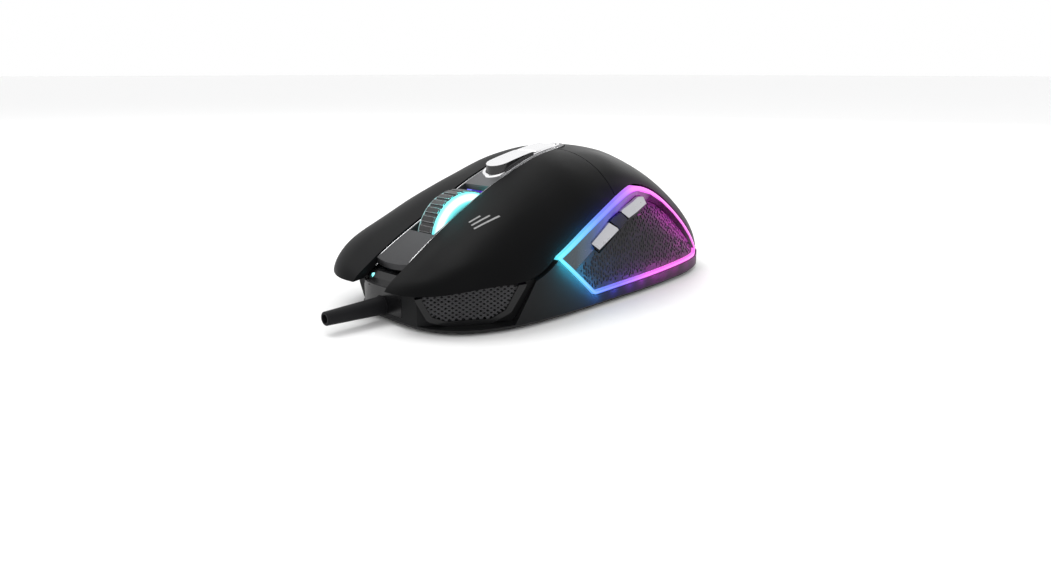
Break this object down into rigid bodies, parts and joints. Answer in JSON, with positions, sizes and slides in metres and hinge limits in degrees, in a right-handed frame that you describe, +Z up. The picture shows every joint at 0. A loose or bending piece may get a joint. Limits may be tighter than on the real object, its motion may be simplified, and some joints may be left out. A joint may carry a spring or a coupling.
{
  "type": "computer mouse",
  "caption": "Right-handed wired gaming mouse: separate click buttons, lit scroll wheel, thumb keys, lit ring round each side grip, mesh nose pods and glide feet.",
  "frame": {"origin": "on the desk plane, at the centre of the footprint's bounding box", "axes": "+X to the user's right, +Y towards the nose and cable, +Z up"},
  "size_m": [0.0653, 0.139, 0.0423],
  "materials": {
    "shell": "soft-touch",
    "shell_light": "soft-touch",
    "base": "satin",
    "gloss": "polished",
    "bright": "polished",
    "silver": "satin",
    "ring_light": "translucent, lit",
    "wheel_light": "translucent, lit",
    "nose_light": "translucent, lit",
    "rubber": "textured",
    "tyre": "ribbed",
    "grille": "perforated",
    "inner_plastic": "moulded",
    "steel": "bright",
    "board": "solder mask",
    "chip": "moulded",
    "switch_body": "moulded",
    "plunger": "moulded",
    "led": "moulded",
    "lens": "clear",
    "connector": "moulded",
    "cable": "smooth",
    "glide": "low friction"
  },
  "bodies": {
    "base": {"base_shell": "base", "board_screws": "steel", "cable_boot": "cable", "cable_connector": "connector", "cable_lead": "cable", "controller_chip": "chip", "dpi_bezel": "bright", "dpi_board": "board", "dpi_switches": "switch_body", "encoder": "switch_body", "front_fascia": "gloss", "front_glides": "glide", "hinge_rod": "steel", "key_trim": "gloss", "left_grille": "grille", "left_grille_frame": "gloss", "left_grip": "rubber", "left_ledge": "gloss", "left_light_guide": "ring_light", "left_side_board": "board", "left_side_frame": "inner_plastic", "left_side_leds": "led", "left_switch": "switch_body", "main_board": "board", "nose_light": "nose_light", "optical_sensor": "chip", "palm_shell": "shell", "rear_glide": "glide", "right_grille": "grille", "right_grille_frame": "gloss", "right_grip": "rubber", "right_ledge": "gloss", "right_light_guide": "ring_light", "right_side_board": "board", "right_side_frame": "inner_plastic", "right_side_leds": "led", "right_switch": "switch_body", "sensor_lens": "lens", "shell_screws": "steel", "side_switches": "switch_body", "spine": "gloss", "wheel_switch": "switch_body"},
    "left_button": {"left_button": "shell"},
    "right_button": {"right_button": "shell_light"},
    "left_plunger": {"left_plunger": "plunger"},
    "right_plunger": {"right_plunger": "plunger"},
    "cradle": {"wheel_cradle": "inner_plastic"},
    "wheel": {"wheel_hub": "inner_plastic", "wheel_tyre": "tyre", "wheel_lights": "wheel_light", "wheel_axle": "steel"},
    "dpi_up_button": {"dpi_up_button": "bright"},
    "dpi_down_button": {"dpi_down_button": "bright"},
    "forward_button": {"forward_button": "silver"},
    "back_button": {"back_button": "silver"}
  },
  "joints": [
    {"name": "left_click", "type": "hinge", "parent": "base", "child": "left_button", "pos_m": [0, -0.0095, 0.0275], "axis": [-1, 0, 0], "range_deg": [0, 0.7], "stiffness_Nm_per_rad": 1.2, "springref_deg": -0.57},
    {"name": "left_plunger_slide", "type": "slide", "parent": "base", "child": "left_plunger", "axis": [0, 0, -1], "range_m": [0, 0.00055], "stiffness_N_per_m": 0.01, "springref_m": -0.0078},
    {"name": "right_click", "type": "hinge", "parent": "base", "child": "right_button", "pos_m": [0, -0.0095, 0.0275], "axis": [-1, 0, 0], "range_deg": [0, 0.7], "stiffness_Nm_per_rad": 1.2, "springref_deg": -0.57},
    {"name": "right_plunger_slide", "type": "slide", "parent": "base", "child": "right_plunger", "axis": [0, 0, -1], "range_m": [0, 0.00055], "stiffness_N_per_m": 0.01, "springref_m": -0.0078},
    {"name": "wheel_click", "type": "hinge", "parent": "base", "child": "cradle", "pos_m": [0, 0.0415, 0.0096], "axis": [1, 0, 0], "range_deg": [0, 1.5], "stiffness_Nm_per_rad": 1, "springref_deg": -1.15},
    {"name": "wheel_spin", "type": "hinge", "parent": "cradle", "child": "wheel", "pos_m": [0, 0.025, 0.0183], "axis": [1, 0, 0], "continuous": true},
    {"name": "dpi_up_press", "type": "slide", "parent": "base", "child": "dpi_up_button", "axis": [0, 0, -1], "range_m": [0, 0.0004], "stiffness_N_per_m": 400, "springref_m": -0.0003},
    {"name": "dpi_down_press", "type": "slide", "parent": "base", "child": "dpi_down_button", "axis": [0, 0, -1], "range_m": [0, 0.0004], "stiffness_N_per_m": 400, "springref_m": -0.0003},
    {"name": "forward_press", "type": "slide", "parent": "base", "child": "forward_button", "axis": [1, 0, 0], "range_m": [0, 0.0005], "stiffness_N_per_m": 400, "springref_m": -0.0002},
    {"name": "back_press", "type": "slide", "parent": "base", "child": "back_button", "axis": [1, 0, 0], "range_m": [0, 0.0005], "stiffness_N_per_m": 400, "springref_m": -0.0002}
  ],
  "couplings": [
    {"joint": "left_plunger_slide", "follows": "left_click", "m_per_rad": 0.041},
    {"joint": "right_plunger_slide", "follows": "right_click", "m_per_rad": 0.041}
  ]
}
